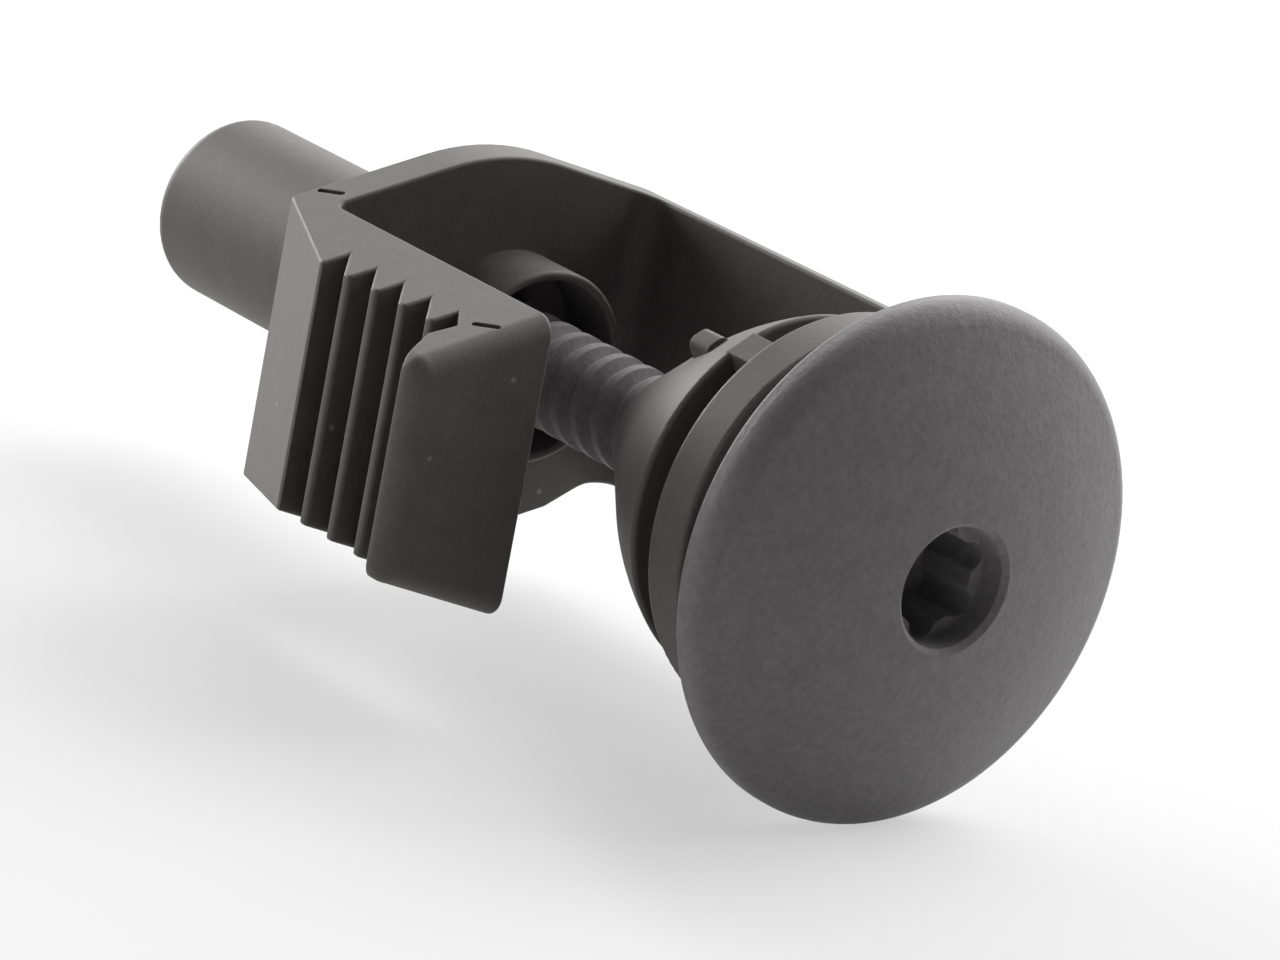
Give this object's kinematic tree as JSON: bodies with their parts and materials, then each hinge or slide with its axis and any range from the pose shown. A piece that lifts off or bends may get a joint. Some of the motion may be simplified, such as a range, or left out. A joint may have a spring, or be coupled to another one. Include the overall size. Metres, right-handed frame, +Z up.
{
  "type": "radiator mount retainer",
  "caption": "Plastic retainer with a round pin, a toothed snap arm, a guide arm and a large domed screw whose sliding collar is drawn up between the arms.",
  "frame": {"origin": "on the common axis of pin and screw, at the shoulder behind the pin", "axes": "+X along the axis from the pin towards the screw head, +Z up, the toothed snap arm on the -Y side"},
  "size_m": [0.0884, 0.0472, 0.038],
  "materials": {
    "body_plastic": "fine-grained dark grey moulded plastic",
    "collar_plastic": "fine-grained dark grey moulded plastic",
    "screw_plastic": "fine-grained dark grey moulded plastic"
  },
  "bodies": {
    "body": {"retainer_body": "body_plastic"},
    "collar": {"guide_collar": "collar_plastic"},
    "screw": {"drive_screw": "screw_plastic"}
  },
  "joints": [
    {"name": "collar_slide", "type": "slide", "parent": "body", "child": "collar", "axis": [1, 0, 0], "range_m": [-0.01, 0.005]},
    {"name": "screw_turn", "type": "hinge", "parent": "collar", "child": "screw", "pos_m": [0, 0, 0], "axis": [1, 0, 0], "range_deg": [-1441, 721]}
  ],
  "couplings": [
    {"joint": "screw_turn", "follows": "collar_slide", "rad_per_m": 2513.3}
  ]
}
